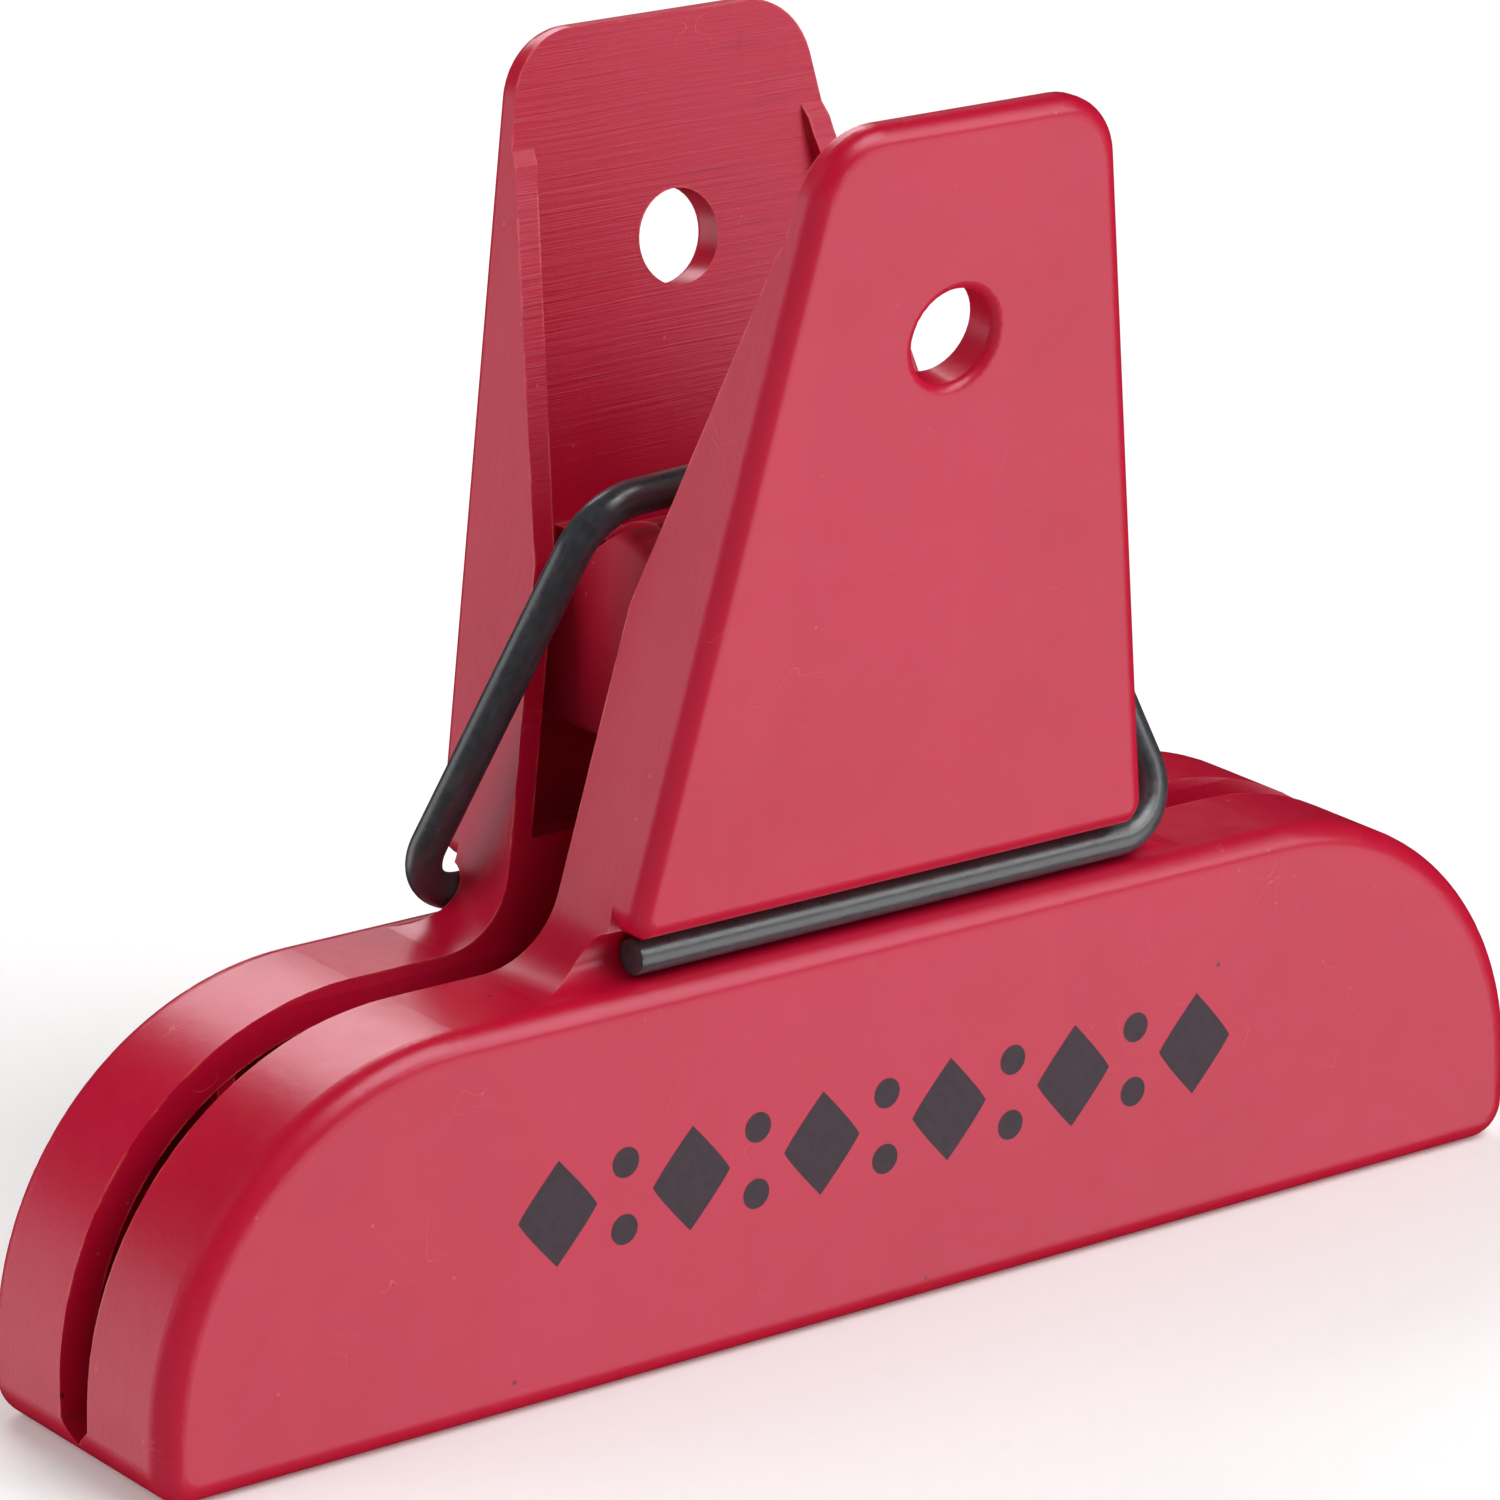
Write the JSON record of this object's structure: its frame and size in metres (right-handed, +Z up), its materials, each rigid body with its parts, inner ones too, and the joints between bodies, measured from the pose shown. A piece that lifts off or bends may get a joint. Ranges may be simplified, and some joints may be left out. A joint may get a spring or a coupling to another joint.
{
  "type": "bag clip",
  "caption": "Wide-jaw bag clip: two identical moulded halves rock on knuckles and a bent wire spring holds the long straight jaws shut.",
  "frame": {"origin": "on the resting surface, under the middle of the closed jaws", "axes": "+X along the jaws, +Y towards the rear half, +Z up through the handles; both halves are the same shape, half a turn about Z apart"},
  "size_m": [0.102, 0.0316, 0.0751],
  "materials": {
    "clip_plastic": "satin, injection moulded, dark-edged deep red",
    "spring_steel": "dull grey drawn wire, oiled"
  },
  "bodies": {
    "rear": {"rear_half": "clip_plastic", "spring_wire": "spring_steel"},
    "front": {"front_half": "clip_plastic"}
  },
  "joints": [
    {"name": "jaw_hinge", "type": "hinge", "parent": "rear", "child": "front", "pos_m": [0, 0, 0.0423], "axis": [-1, 0, 0], "range_deg": [0, 26], "stiffness_Nm_per_rad": 0.35, "springref_deg": -28.65, "deforming": ["spring_wire"]}
  ]
}
